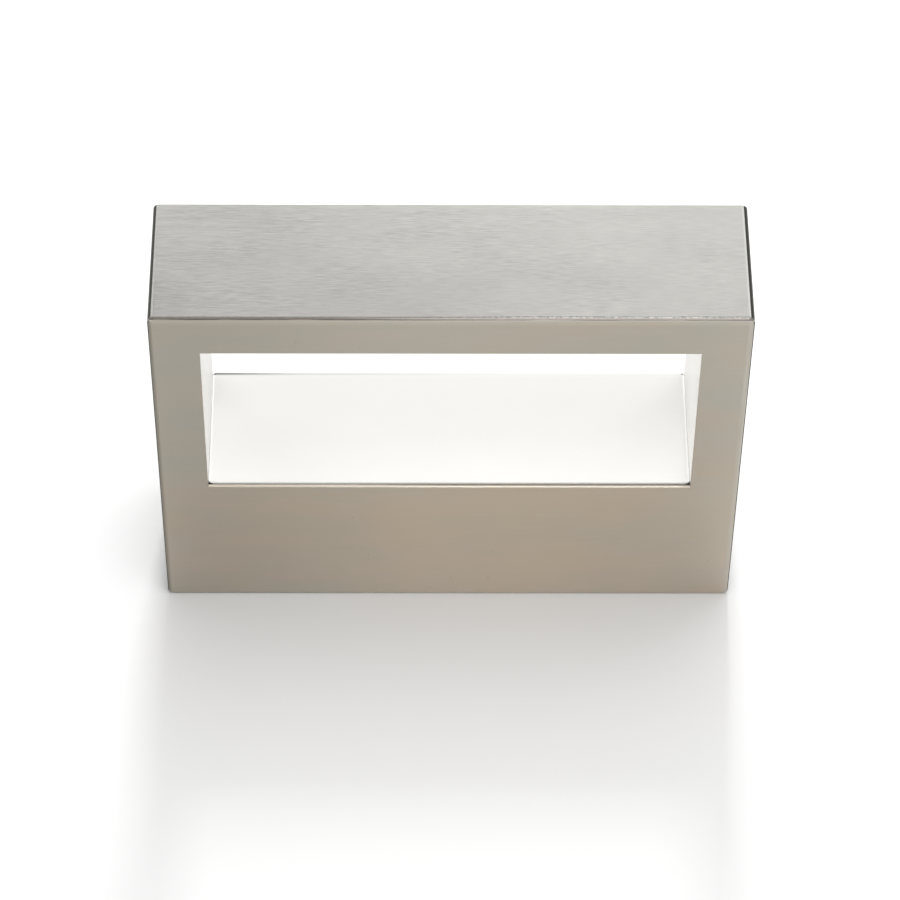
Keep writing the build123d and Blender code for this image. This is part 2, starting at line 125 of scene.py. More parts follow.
def step(tree, value, start, end, low=0.0, high=1.0):
    """Goes smoothly from low to high while the value goes from start to end."""
    ramp = shader_node(tree, "MapRange", Value=value, From_Min=start, From_Max=end, To_Min=low, To_Max=high)
    ramp.interpolation_type = "SMOOTHSTEP"
    return ramp.outputs["Result"]


def sums(tree, how, *values):
    """One step of arithmetic on one or two values, carried on over any further ones."""
    node = tree.nodes.new("ShaderNodeMath")
    node.operation = how
    for socket, value in zip(node.inputs, values):
        put(tree, socket, value)
    result = node.outputs["Value"]
    return sums(tree, how, result, *values[2:]) if values[2:] else result


def tones(tree, amount, *stops):
    """A run of colours, each given with the share of the amount where it stands."""
    ramp = shader_node(tree, "ValToRGB", Fac=amount)
    elements = ramp.color_ramp.elements
    for _ in stops[2:]:
        elements.new(1.0)
    for element, (position, colour) in zip(elements, stops):
        element.position = position
        element.color = (*colour, 1.0)
    return ramp.outputs["Color"]


noise_low, noise_high = 0.3, 0.7


def two_tone(tree, noise, dark, light):
    """Goes from one colour to another over the middle of a noise, where most of its values lie."""
    return tones(tree, noise, (noise_low, dark), (noise_high, light))


def varied(tree, noise, low, high):
    """Goes smoothly from low to high over the middle of a noise."""
    return step(tree, noise, noise_low, noise_high, low, high)


def grey(share):
    """A colour with the same share of red, green and blue."""
    return (share, share, share)


def mixed(tree, amount, under, over, how="MIX"):
    """One colour laid over another by this amount. The node's inputs 6 and 7 and its output 2 are those for
    colours; the ones before them are for numbers and places."""
    node = tree.nodes.new("ShaderNodeMix")
    node.data_type = "RGBA"
    node.blend_type = how
    for socket, value in ((0, amount), (6, under), (7, over)):
        put(tree, node.inputs[socket], value)
    return node.outputs[2]


def lay_on(tree, shader, colour, roughness, height, depth):
    """Gives the shader its colour and roughness, and raises the surface by up to the depth, in metres."""
    bump = shader_node(tree, "Bump", Height=height, Distance=depth)
    tree.links.new(colour, shader.inputs["Base Color"])
    tree.links.new(roughness, shader.inputs["Roughness"])
    tree.links.new(bump.outputs["Normal"], shader.inputs["Normal"])


def dress(finish, *names):
    """Gives pieces of the frame their finish."""
    for name in names:
        for holder in nodes[name].material_slots:
            holder.material = finish


plate_low, plate_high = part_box("front_plate")
plate_half, plate_top = plate_high.x, plate_high.z
sheet = 0.0012
rounded_rim = sheet
cut_round = 0.0002
sill_fall = 0.0009
window_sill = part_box("sill_tray")[1].z - sill_fall
brush_depth = 0.00002
warm_silver, cool_silver = (0.490, 0.439, 0.367), (0.464, 0.439, 0.378)
# A dark for the specks, which also serves as painted shade on the plate's dark edges and on the weld's left
# end.
speck_and_shade_dark = (0.07, 0.066, 0.055)
# A dark painted for the oxide and the shade at the bottom of the weld's groove.
groove_shade_dark = (0.035, 0.033, 0.028)

front_steel, tree, shader = start_finish("front_steel", Metallic=1.0)
place = axes(tree, "Object")
facing = axes(tree, "Normal")
hairlines = grain(tree, (60, 60, 2600), 4.0)
clouds = grain(tree, (22, 22, 60), 2.0)
sheet_tone = tones(tree, clouds, (0.35, warm_silver), (0.65, cool_silver))
brushed = mixed(tree, 1.0, sheet_tone, two_tone(tree, hairlines, grey(0.94), grey(1.0)), "MULTIPLY")

# Painted light: the sheet is painted brightest in the middle and just under the top, and its reflection of
# the floor is painted in, warmer over the base and brighter and cooler at its foot.
bright_from, bright_full = plate_top - 0.003, plate_top - 0.0008
warm_from, warm_full, warmest_x = 0.06, 0.015, 0.03
cool_from = 0.02
painted_warm_reflection, painted_foot_light = (1.185, 1.10, 1.03), (1.09, 1.12, 1.165)
leftward = step(tree, place["X"], -plate_half, 0.0, 0.885, 1.05)
rightward = step(tree, place["X"], 0.0, plate_half, 1.0, 0.96)
upward = step(tree, place["Z"], bright_from, bright_full, 1.0, 1.12)
brushed = mixed(tree, 1.0, brushed, sums(tree, "MULTIPLY", leftward, rightward, upward), "MULTIPLY")
downward = step(tree, place["Z"], warm_from, warm_full)
to_left = step(tree, place["X"], -plate_half, warmest_x, 0.5, 1.0)
to_right = step(tree, place["X"], warmest_x, plate_half, 1.0, 0.62)
warmed = sums(tree, "MULTIPLY", downward, to_left, to_right)
brushed = mixed(tree, warmed, brushed, painted_warm_reflection, "MULTIPLY")
brushed = mixed(tree, step(tree, place["Z"], cool_from, plate_low.z), brushed, painted_foot_light, "MULTIPLY")

# Dark specks lie all over it, and the margin at the right is scuffed across by the grinder.
ground_margin = 0.0022
margin_tone = (0.54, 0.51, 0.455)
specks = step(tree, grain(tree, 420, 1.0), 0.77, 0.80, 0.0, 0.25)
brushed = mixed(tree, specks, brushed, speck_and_shade_dark)
margin = step(tree, place["X"], plate_half - ground_margin, plate_half - ground_margin / 2)
scuffs = step(tree, grain(tree, (2400, 60, 45), 2.0), 0.35, 0.65, 0.25, 1.0)
brushed = mixed(tree, sums(tree, "MULTIPLY", margin, scuffs), brushed, margin_tone)

# Both side edges are painted dark as shade, and at the left the painted shade creeps round on to the face.
sideways = sums(tree, "ABSOLUTE", place["X"])
on_side = step(tree, sideways, plate_half - rounded_rim, plate_half - rounded_rim / 2)
rolls_in = step(tree, facing["Y"], -0.1, -0.2)
rolls_aside = step(tree, sums(tree, "ABSOLUTE", facing["X"]), 0.35, 0.5)
side_edge_shade = sums(tree, "MULTIPLY", on_side, rolls_in, rolls_aside)
left_shade_from, left_shade_full = 1.3 * rounded_rim - plate_half, rounded_rim / 3 - plate_half
left_face_shade = step(tree, place["X"], left_shade_from, left_shade_full, 0.0, 0.5)
edged = mixed(tree, sums(tree, "MAXIMUM", side_edge_shade, left_face_shade), brushed, speck_and_shade_dark)

# The top edge has a painted highlight where it starts to roll, and above it a crest painted dark as shade,
# darkest on the left, with a wandering border.
dark_crest_until, light_crest_from = -0.045, 0.005
roll_highlight = (0.80, 0.76, 0.69)
dark_crest_shade, light_crest_shade = (0.092, 0.083, 0.071), (0.195, 0.182, 0.163)
on_top = step(tree, place["Z"], plate_top - rounded_rim, plate_top - rounded_rim / 2)
to_the_right = step(tree, place["X"], dark_crest_until, light_crest_from)
highlight_share = step(tree, place["X"], dark_crest_until, light_crest_from, 0.35, 0.6)
starts_up = step(tree, facing["Z"], 0.02, 0.35)
edged = mixed(tree, sums(tree, "MULTIPLY", on_top, starts_up, highlight_share), edged, roll_highlight)
drift = varied(tree, grain(tree, (55, 1, 1)), 0.0, 0.18)
looks_up = step(tree, sums(tree, "SUBTRACT", facing["Z"], drift), 0.54, 0.7)
crest_shade = tones(tree, to_the_right, (0.0, dark_crest_shade), (1.0, light_crest_shade))
edged = mixed(tree, sums(tree, "MULTIPLY", on_top, looks_up), edged, crest_shade)

# The window's cut edge over the base is bare metal, duller on the left, and the rear half of it, all but at
# the left, is painted dark as the shade of the gap behind it.
dull_cut, clean_cut, cut_shade = (0.37, 0.33, 0.28), (0.48, 0.435, 0.37), (0.13, 0.115, 0.10)
above_base = step(tree, place["Z"], window_sill - 3 * cut_round, window_sill - cut_round)
below_lintel = step(tree, place["Z"], window_sill + 10 * cut_round, window_sill + 5 * cut_round)
cut_edge = sums(tree, "MULTIPLY", above_base, below_lintel, step(tree, facing["Z"], 0.2, 0.5))
edged = mixed(tree, cut_edge, edged, tones(tree, to_the_right, (0.0, dull_cut), (1.0, clean_cut)))
cut_rear = step(tree, place["Y"], plate_high.y - sheet / 2, plate_high.y - sheet / 4, 0.0, 0.85)
edged = mixed(tree, sums(tree, "MULTIPLY", cut_edge, cut_rear, to_the_right), edged, cut_shade)

# The bevel behind the rim, at the bottom of the weld's groove, is painted dark, partly for its oxide and
# partly as shade.
turns_back = step(tree, facing["Y"], 0.3, 0.5)
not_the_back = step(tree, facing["Y"], 0.95, 0.85)
edged = mixed(tree, sums(tree, "MULTIPLY", turns_back, not_the_back), edged, groove_shade_dark)
lay_on(tree, shader, edged, varied(tree, hairlines, 0.38, 0.46), hairlines, brush_depth)
dress(front_steel, "front_plate")


# Outer band: one strip of the same sheet, brushed along its length in short dashes that come and go, and
# folded round the top, the sides and the underside. The right fold's crest carries a painted highlight and
# the left one's is painted dimmer, and both folds are painted dark beyond it as shade.

band_front, band_back = (corner.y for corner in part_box("outer_band"))
dark_silver, light_silver = (0.352, 0.347, 0.331), (0.376, 0.371, 0.353)
band_steel, tree, shader = start_finish("band_steel", Metallic=1.0)
place = axes(tree, "Object")
facing = axes(tree, "Normal")
dashes = grain(tree, (190, 2300, 190), 2.0, 0.05)
hairlines = grain(tree, (60, 3800, 60), 2.0)
clouds = grain(tree, (20, 60, 20), 2.0)
calm_x = 0.06
patches = step(tree, grain(tree, (45, 70, 45), 2.0), 0.38, 0.62, 0.5, 1.0)
patches = sums(tree, "MULTIPLY", patches, step(tree, place["X"], 0.0, calm_x, 1.0, 0.7))
silver = tones(tree, clouds, (0.35, dark_silver), (0.65, light_silver))
dashed = mixed(tree, patches, silver, two_tone(tree, dashes, grey(0.84), grey(1.10)), "MULTIPLY")
brushed = mixed(tree, 1.0, dashed, two_tone(tree, hairlines, grey(0.97), grey(1.0)), "MULTIPLY")

# Painted light: it is painted a little brighter towards the right and the rear, most in a narrow strip
# along the rear edge.
even_beyond = 0.08
rear_strip = 0.003
rightward = step(tree, place["X"], -even_beyond, even_beyond, 0.98, 1.085)
rearward = step(tree, place["Y"], band_front, band_back, 0.97, 1.13)
at_back = step(tree, place["Y"], band_back - rear_strip, band_back, 1.0, 1.06)
brushed = mixed(tree, 1.0, brushed, sums(tree, "MULTIPLY", rightward, rearward, at_back), "MULTIPLY")

# The folds' painted light: a painted highlight on the right crest, a painted dimming of the left crest, and
# painted shade beyond both.
dim_crest_paint, crest_highlight, fold_shade_dark = (0.215, 0.212, 0.202), (0.55, 0.545, 0.52), (0.055, 0.055, 0.047)
bent = step(tree, sums(tree, "ABSOLUTE", facing["Z"]), 0.0, 0.1)
left_crest = sums(tree, "MULTIPLY", bent, step(tree, facing["X"], -0.12, -0.3, 0.0, 0.8))
right_crest = sums(tree, "MULTIPLY", bent, step(tree, facing["X"], 0.03, 0.25))
folded = mixed(tree, left_crest, brushed, dim_crest_paint)
folded = mixed(tree, right_crest, folded, crest_highlight)
left_fold = step(tree, facing["X"], -0.42, -0.52)
right_fold = step(tree, facing["X"], 0.35, 0.43)
fold = sums(tree, "MULTIPLY", sums(tree, "MAXIMUM", left_fold, right_fold), bent)
folded = mixed(tree, fold, folded, fold_shade_dark)
# The band's bevel at the weld's groove is painted dark, partly for its oxide and partly as shade.
folded = mixed(tree, step(tree, facing["Y"], -0.3, -0.5), folded, groove_shade_dark)
lay_on(tree, shader, folded, varied(tree, hairlines, 0.34, 0.44), dashes, brush_depth)
dress(band_steel, "outer_band")


# Weld: a bead that fills the groove between plate and band and is ground flush. Its pits show most along
# the top, on the right, where the edge was ground clean, and towards the left the bead is painted dark as
# shade.

def eased(corners, radius, steps=6, closed=True):
    """An outline with each corner rounded off by an arc that touches both of its sides. A point of the arc
    is the weighted mean of the arc's ends and its corner, whose weight is the cosine of half the turn."""
    corners = np.asarray(corners, float)
    into = corners - np.roll(corners, 1, 0)
    into = into / np.linalg.norm(into, axis=1, keepdims=True)
    onward = np.roll(into, -1, 0)
    turn = np.sum(into * onward, 1)[:, None]
    reach = np.broadcast_to(radius, len(corners))[:, None] * np.sqrt((1 - turn) / (1 + turn))
    first = corners - into * reach
    last = corners + onward * reach
    t = np.linspace(0, 1, steps)[None, :, None]
    shares = ((1 - t) ** 2, 2 * t * (1 - t) * np.sqrt((1 + turn) / 2)[:, None], t**2)
    arcs = shares[0] * first[:, None] + shares[1] * corners[:, None] + shares[2] * last[:, None]
    arcs = (arcs / sum(shares)).reshape(-1, corners.shape[1])
    if closed:
        return np.vstack([arcs, arcs[:1]])
    return np.vstack([corners[:1], arcs[steps:-steps], corners[-1:]])


def spaced(line, gap):
    """Points a steady gap apart along a line, its two ends among them."""
    run = np.r_[0, np.cumsum(np.linalg.norm(np.diff(line, axis=0), axis=1))]
    stations = np.linspace(0, run[-1], round(run[-1] / gap) + 1)
    return np.column_stack([np.interp(stations, run, axis) for axis in line.T])


def outward(loop):
    """Unit vectors that point out of a closed loop that runs anticlockwise, square to its course."""
    along = np.roll(loop[:-1], -1, 0) - np.roll(loop[:-1], 1, 0)
    out = np.column_stack([along[:, 1], -along[:, 0]])
    out = out / np.linalg.norm(out, axis=1, keepdims=True)
    return np.vstack([out, out[:1]])


def smooth(value, start, end):
    """Goes from 0 to 1 while the value goes from start to end, with no sharp bend at either."""
    share = np.clip((value - start) / (end - start), 0, 1)
    return share * share * (3 - 2 * share)


def frame_corners(half_x, low, high):
    """The corners of an upright rectangle about the middle line, anticlockwise."""
    return [(-half_x, low), (half_x, low), (half_x, high), (-half_x, high)]


def made(name, grids, finish, body, slot, *replaced):
    """A piece from grids of points: each square of four neighbours is a face, points in the same place
    become one, which closes seams and poles, and the faces are turned to look outwards. The map UVMap holds
    each point's share of the rows and of the columns."""
    points, squares, shares, count = [], [], [], 0
    for grid in grids:
        rows, columns = grid.shape[:2]
        number = np.arange(rows * columns).reshape(rows, columns)
        square = np.stack([number[:-1, :-1], number[:-1, 1:], number[1:, 1:], number[1:, :-1]], -1)
        across, along = np.meshgrid(np.linspace(0, 1, columns), np.linspace(0, 1, rows))
        points.append(grid.reshape(-1, 3))
        squares.append(square.reshape(-1, 4) + count)
        shares.append(np.stack([along, across], -1).reshape(-1, 2))
        count += rows * columns
    squares = np.concatenate(squares)
    mesh = bpy.data.meshes.new(name)
    mesh.from_pydata(np.concatenate(points), [], squares)
    mesh.uv_layers.new(name="UVMap").data.foreach_set("uv", np.concatenate(shares)[squares].ravel())
    shape = bmesh.new()
    shape.from_mesh(mesh)
    bmesh.ops.remove_doubles(shape, verts=shape.verts, dist=same_place)
    bmesh.ops.recalc_face_normals(shape, faces=shape.faces)
    shape.to_mesh(mesh)
    shape.free()
    mesh.shade_smooth()
    mesh.set_sharp_from_angle(angle=sharp_from)
    mesh.materials.append(finish)
    piece = bpy.data.objects.new(name, mesh)
    bpy.context.scene.collection.objects.link(piece)
    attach(piece, body)
    if replaced:
        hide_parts(*replaced)
    return piece


same_place = 1e-7
sharp_from = radians(40)
seam_y = plate_high.y
groove, root_depth = 0.0003, 1.03
fold_radius, fold_steps = 0.002, 9
bead_step, face_points = 0.0004, 5
full_groove, pit_depth, side_pits = 0.94, 0.25, 0.3
shade_until, pitted_from = -0.01, 0.045
pit_dark, bead_grey, bead_bright = (0.143, 0.138, 0.125), (0.219, 0.214, 0.201), (0.315, 0.31, 0.295)
rear_half_shade = (0.17, 0.165, 0.155)

weld_steel, tree, shader = start_finish("weld_steel", Metallic=1.0)
place = axes(tree, "Object")
pits = grain(tree, 1100, 2.0)
beaded = tones(tree, pits, (0.36, pit_dark), (0.5, bead_grey), (0.66, bead_bright))
# Towards the left the bead is painted dark as shade, its front half darker than its rear.
bead_shade_amount = step(tree, place["X"], pitted_from, shade_until, 0.0, 0.85)
rear_half = step(tree, place["Y"], seam_y - groove / 3, seam_y + groove / 3)
bead_shade = tones(tree, rear_half, (0.0, speck_and_shade_dark), (1.0, rear_half_shade))
beaded = mixed(tree, bead_shade_amount, beaded, bead_shade)
lay_on(tree, shader, beaded, varied(tree, pits, 0.5, 0.36), pits, 0.00005)

ring = eased(frame_corners(plate_half, plate_low.z, plate_top), fold_radius, fold_steps)
ring = spaced(ring, bead_step)
draws = np.random.default_rng(5)
lumps = np.convolve(draws.random(len(ring) + 2), (0.25, 0.5, 0.25), "valid")
along_top = ring[:, 1] > plate_top - groove
pitted = np.where(along_top, smooth(ring[:, 0], shade_until, pitted_from), side_pits)
fill = full_groove - pit_depth * pitted * smooth(lumps, 0.5, 0.8)
fill[-1] = fill[0]
across = np.r_[np.linspace(-1, 1, face_points), 0, -1]
level = groove * (fill[:, None] - 1.0) * np.ones(len(across))
level[:, face_points] = -root_depth * groove
flat = ring[:, None] + level[..., None] * outward(ring)[:, None]
deep = seam_y + groove * fill[:, None] * across
bead = np.stack([flat[..., 0], deep, flat[..., 1]], -1)
made("weld_seam", [bead], weld_steel, "casing", "brushed_steel")


# Welded studs: plated steel studs on the back of the front plate and on the lining's ceiling. They carry a
# rolled thread, and those of the gear tray stand on a plain collar that keeps the tray off the plate.

def grained(name, cells, dark, light, roughness, depth, **values):
    """A finish of two tones, two roughnesses and a relief that all follow one noise."""
    finish, tree, shader = start_finish(name, **values)
    noise = grain(tree, cells, 4.0)
    colour = tones(tree, noise, (0.32, dark), (0.68, light))
    lay_on(tree, shader, colour, varied(tree, noise, *roughness), noise, depth)
    return finish


def turned(radius, height, start, way):
    """Turns rows about an axis: each point lies its radius out from the axis, at an angle that goes once
    round along the row, and its height along the axis from the start."""
    angle = np.linspace(0, 2 * pi, radius.shape[1])[:, None]
    way = np.asarray(way, float)
    across = np.roll(way, 1)
    out = np.cos(angle) * across + np.sin(angle) * np.cross(way, across)
    return np.asarray(start) + radius[..., None] * out + height[..., None] * way


def thread(length, radius, pitch, depth, columns):
    """Radii and heights of a screw thread: straight flanks that climb one pitch in a turn, with a tapered
    start at both ends and a closing point on the axis."""
    height = np.linspace(0, length, round(rows_to_a_turn * length / pitch))[:, None]
    climb = (height / pitch - np.linspace(0, 1, columns)) % 1.0
    taper = depth * (1 - smooth(np.minimum(height, length - height), 0, pitch / 2))
    radius = np.minimum(radius - depth * abs(2 * climb - 1), radius - taper)
    return np.pad(radius, ((1, 1), (0, 0))), np.pad(height, ((1, 1), (0, 0)), "edge") * np.ones(columns)


def corner_places(name, inset, level):
    """The middles of four like pieces at the corners of a group, its low end along one axis."""
    low, high = (np.array(corner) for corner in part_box(name))
    ends = np.stack([low + inset, high - inset])
    ends[:, level] = low[level]
    corners = np.stack(np.meshgrid(*ends.T), -1).reshape(-1, 3)
    return np.unique(corners, axis=0), high[level] - low[level]


fastener_zinc = grained(
    "fastener_zinc", 900, (0.50, 0.51, 0.52), (0.66, 0.66, 0.64), (0.24, 0.42), 0.000006, Metallic=1.0
)
m3_radius, m3_pitch, m3_flank = 0.0015, 0.0005, 0.00027
m4_radius, m4_pitch, m4_flank = 0.002, 0.0007, 0.00038
rows_to_a_turn, stud_columns = 8, 25
collar_radius, collar_height, collar_round = 0.003, 0.003, 0.0002
rearwards, upwards = (0, 1, 0), (0, 0, 1)

studs = []
for name, level, way in (("lining_studs", 1, rearwards), ("channel_studs", 2, upwards)):
    starts, length = corner_places(name, m3_radius, level)
    rolled = thread(length, m3_radius, m3_pitch, m3_flank, stud_columns)
    studs += [turned(*rolled, start, way) for start in starts]
starts, length = corner_places("tray_studs", collar_radius, 1)
rolled = thread(length, m4_radius, m4_pitch, m4_flank, stud_columns)
collar = [(0, 0), (collar_radius, 0), (collar_radius, collar_height), (0, collar_height)]
collar = eased(collar, collar_round, 4, closed=False)[:, None] * np.ones((1, stud_columns, 1))
for start in starts:
    studs.append(turned(*rolled, start, rearwards))
    studs.append(turned(collar[..., 0], collar[..., 1], start, rearwards))
stud_groups = ("lining_studs", "channel_studs", "tray_studs")
made("threaded_studs", studs, fastener_zinc, "casing", "fasteners", *stud_groups)


# Window lining and sill tray: folded sheet with a baked white coat that has a faint orange-peel surface.
# The lining is bolted behind the front plate, and the tray is screwed in between the lining's walls. Both
# coats are painted darker towards the rear as shade and lighter in the creases as painted light. The tray
# has a pale patch of painted light by the left wall at the front and a line of painted shade along the rear
# fold, most on the left.

def white_coat(name, shade, light, rear):
    """Starts a white coat of two near tones that goes over to a third, painted darker as shade, towards the
    rear.
    """
    finish, tree, shader = start_finish(name)
    place = axes(tree, "Object")
    coat = two_tone(tree, grain(tree, 35), shade, light)
    coat = mixed(tree, step(tree, place["Y"], tray_low.y, tray_high.y), coat, rear)
    return finish, tree, shader, place, coat


def within(tree, value, edge, reach, blur):
    """Goes from 0, this reach short of an edge, to 1, nearer to it by the blur. A reach below 0 lies
    beyond the edge."""
    blur = blur if reach > 0 else -blur
    return step(tree, value, edge - reach, edge - reach + blur)


def bake(tree, shader, place, coat):
    """Lays the coat on with its orange-peel surface. The gaps at the tray's four corners, which lie below
    the sill's slope, and the rims of the rear two are painted dark as shade."""
    aside = sums(tree, "ABSOLUTE", place["X"])
    rise = sums(tree, "MULTIPLY", sums(tree, "SUBTRACT", place["Y"], tray_low.y), sill_slope)
    height = sums(tree, "SUBTRACT", place["Z"], rise)
    at_wall = within(tree, aside, tray_high.x, gap_width, gap_blur)
    at_rear = within(tree, place["Y"], tray_high.y, rear_fold, gap_blur)
    at_front = within(tree, place["Y"], tray_low.y, -gap_length, gap_blur)
    below = step(tree, height, window_sill - coat_depth, window_sill - 3 * coat_depth)
    gap = sums(tree, "MULTIPLY", at_wall, sums(tree, "MAXIMUM", at_rear, at_front), below)
    in_corner = within(tree, aside, tray_high.x, rim_width, gap_blur)
    on_fold = within(tree, place["Y"], tray_high.y, rim_length, rim_blur)
    by_sill = within(tree, height, window_sill, -rim_height, rim_blur)
    painted_gap_shade = sums(tree, "MAXIMUM", gap, sums(tree, "MULTIPLY", in_corner, on_fold, by_sill))
    peel = grain(tree, 900, 2.0)
    coat = mixed(tree, painted_gap_shade, coat, gap_shade_dark)
    lay_on(tree, shader, coat, varied(tree, peel, 0.42, 0.5), peel, 0.00001)


tray_low, tray_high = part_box("sill_tray")
sill_slope = sill_fall / (tray_high.y - tray_low.y)
crease, rear_fold, coat_depth = 0.0008, 0.0014, 0.0001
gap_width, gap_length, gap_blur = 0.0016, 0.0012, 0.0005
rim_width, rim_length, rim_height, rim_blur = 0.0012, 0.0011, 0.0006, 0.0004
# The dark painted as shade in the tray's corner gaps and along its rear fold.
gap_shade_dark = (0.06, 0.06, 0.053)
crease_light = (0.97, 0.965, 0.95)

lining_coat, tree, shader, place, coat = white_coat(
    "lining_coat", (0.95, 0.935, 0.895), (0.96, 0.945, 0.91), (0.82, 0.81, 0.795)
)
# The lining's walls are painted lighter at their foot, as painted light in the crease.
at_foot = step(tree, place["Z"], tray_high.z + crease, tray_high.z + crease / 4, 0.0, 0.8)
bake(tree, shader, place, mixed(tree, at_foot, coat, crease_light))
dress(lining_coat, "window_lining")

tray_coat, tree, shader, place, coat = white_coat(
    "tray_coat", (0.75, 0.745, 0.731), (0.765, 0.76, 0.746), (0.546, 0.541, 0.525)
)
# Painted light: a pale patch on the tray by the left wall, towards the front.
pale_light_until, pale_from_y, pale_full_y = -0.04, -0.004, -0.022
pale_light = (0.90, 0.895, 0.88)
by_left_wall = step(tree, place["X"], pale_light_until, tray_low.x, 0.0, 0.25)
in_front = step(tree, place["Y"], pale_from_y, pale_full_y)
coat = mixed(tree, sums(tree, "MULTIPLY", by_left_wall, in_front), coat, pale_light)
# The creases at the tray's sides are painted lighter, as painted light in their shade.
aside = sums(tree, "ABSOLUTE", place["X"])
at_walls = step(tree, aside, tray_high.x - crease, tray_high.x - crease / 4, 0.0, 0.8)
coat = mixed(tree, at_walls, coat, crease_light)
# A line along the rear fold is painted dark as shade, most on the left.
faint_shade_until, deep_shade_until = 0.04, -0.045
fold = within(tree, place["Y"], tray_high.y, rear_fold, gap_blur)
faint_shade = step(tree, place["X"], tray_low.x, faint_shade_until, 0.28, 0.0)
deep_shade = step(tree, place["X"], tray_low.x, deep_shade_until, 0.52, 0.0)
rear_fold_shade = sums(tree, "MULTIPLY", fold, sums(tree, "ADD", faint_shade, deep_shade))
bake(tree, shader, place, mixed(tree, rear_fold_shade, coat, gap_shade_dark))
dress(tray_coat, "sill_tray")
dress(fastener_zinc, "lining_nuts", "sill_screws", "channel_nuts")


# Diffuser: an opal plastic strip in the ceiling's slot, which softens the lamp, and the silicone frame
# that seals its rim. The frame is cut from sheet, and its edges bulge a little where it is pressed.

def carried(inner, outer, section):
    """Carries a section along two lines side by side: its first measure is the share of the way from the
    inner line to the outer one, and its second is the height."""
    flat = inner[:, None] + section[:, :1] * (outer - inner)[:, None]
    tall = np.broadcast_to(section[:, 1:], (*flat.shape[:2], 1))
    return np.concatenate([flat, tall], -1)


opal, tree, shader = start_finish("opal", Subsurface_Weight=0.35, Subsurface_Radius=(0.003, 0.003, 0.003))
flow = grain(tree, (12, 60, 60))
milk = two_tone(tree, flow, (0.88, 0.88, 0.86), (0.92, 0.92, 0.90))
lay_on(tree, shader, milk, varied(tree, flow, 0.3, 0.4), flow, 0.00001)
dress(opal, "diffuser")

silicone = grained(
    "silicone", 500, (0.60, 0.60, 0.58), (0.70, 0.70, 0.68), (0.5, 0.65), 0.00001, Subsurface_Weight=0.2
)
seal_low, seal_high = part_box("diffuser_seal")
seal_border, outer_corner, inner_corner = 0.003, 0.0005, 0.0003
seal_height = seal_high.z - seal_low.z
outer = eased(frame_corners(seal_high.x, seal_low.y, seal_high.y), outer_corner)
inner = frame_corners(seal_high.x - seal_border, seal_low.y + seal_border, seal_high.y - seal_border)
inner = eased(inner, inner_corner)
section = [(0, 0), (seal_border, 0), (seal_border, seal_height), (0, seal_height)]
section = eased(section, seal_height / 3) / (seal_border, 1.0)
seal = carried(inner, outer, section) + (0, 0, seal_low.z)
made("silicone_seal", [seal], silicone, "casing", "silicone", "diffuser_seal")


# Lamp channel: an extruded aluminium section that carries the board, takes up its heat and presses the
# diffuser on its seal. The die leaves fine lines along its length. Nuts hold its feet on the ceiling.

aluminium = grained(
    "aluminium", (9, 1600, 1600), (0.62, 0.63, 0.64), (0.76, 0.77, 0.78), (0.3, 0.46), 0.00001, Metallic=1.0
)
dress(aluminium, "lamp_channel")


# Heat pad: a soft filled silicone sheet between the channel's web and the casing's top, a little squeezed
# so that its edges bulge.

pad_silicone = grained("pad_silicone", 1300, (0.30, 0.37, 0.42), (0.40, 0.47, 0.52), (0.75, 0.9), 0.00002)
pad_low, pad_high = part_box("thermal_pad")
pad_height = pad_high.z - pad_low.z
pad_border, pad_corner = 0.001, 0.0006
outer = eased(frame_corners(pad_high.x, pad_low.y, pad_high.y), pad_corner)
spine_reach = pad_high.x - pad_border
spine = np.full_like(outer, (pad_low.y + pad_high.y) / 2)
spine[:, 0] = np.clip(outer[:, 0], -spine_reach, spine_reach)
section = eased([(0, 0), (1, 0), (1, pad_height), (0, pad_height)], pad_height / 3, closed=False)
pad = carried(spine, outer, section) + (0, 0, pad_low.z)
heat_pad = made("heat_pad", [pad], pad_silicone, "casing", "pad", "thermal_pad")


# Lamp board: a white-masked board with a row of LED chips, two screws into the channel's web and a socket
# for the lead. Each chip is a white cup filled with yellow phosphor.

board_low, board_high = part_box("led_board")
lamp_y = (board_low.y + board_high.y) / 2
track_inner, track_outer, track_blur = 0.002, 0.004, 0.0001
track_tone = (0.70, 0.68, 0.60)
white_mask, tree, shader = start_finish("white_mask")
place = axes(tree, "Object")
off_middle = sums(tree, "ABSOLUTE", sums(tree, "SUBTRACT", place["Y"], lamp_y))
beyond = step(tree, off_middle, track_inner - track_blur, track_inner + track_blur)
short_of = step(tree, off_middle, track_outer + track_blur, track_outer - track_blur)
track = sums(tree, "MULTIPLY", beyond, short_of)
ink = grain(tree, 250)
masked = two_tone(tree, ink, (0.80, 0.80, 0.78), (0.86, 0.86, 0.84))
masked = mixed(tree, sums(tree, "MULTIPLY", track, 0.5), masked, track_tone)
lay_on(tree, shader, masked, varied(tree, ink, 0.3, 0.42), track, 0.00003)
dress(white_mask, "led_board")

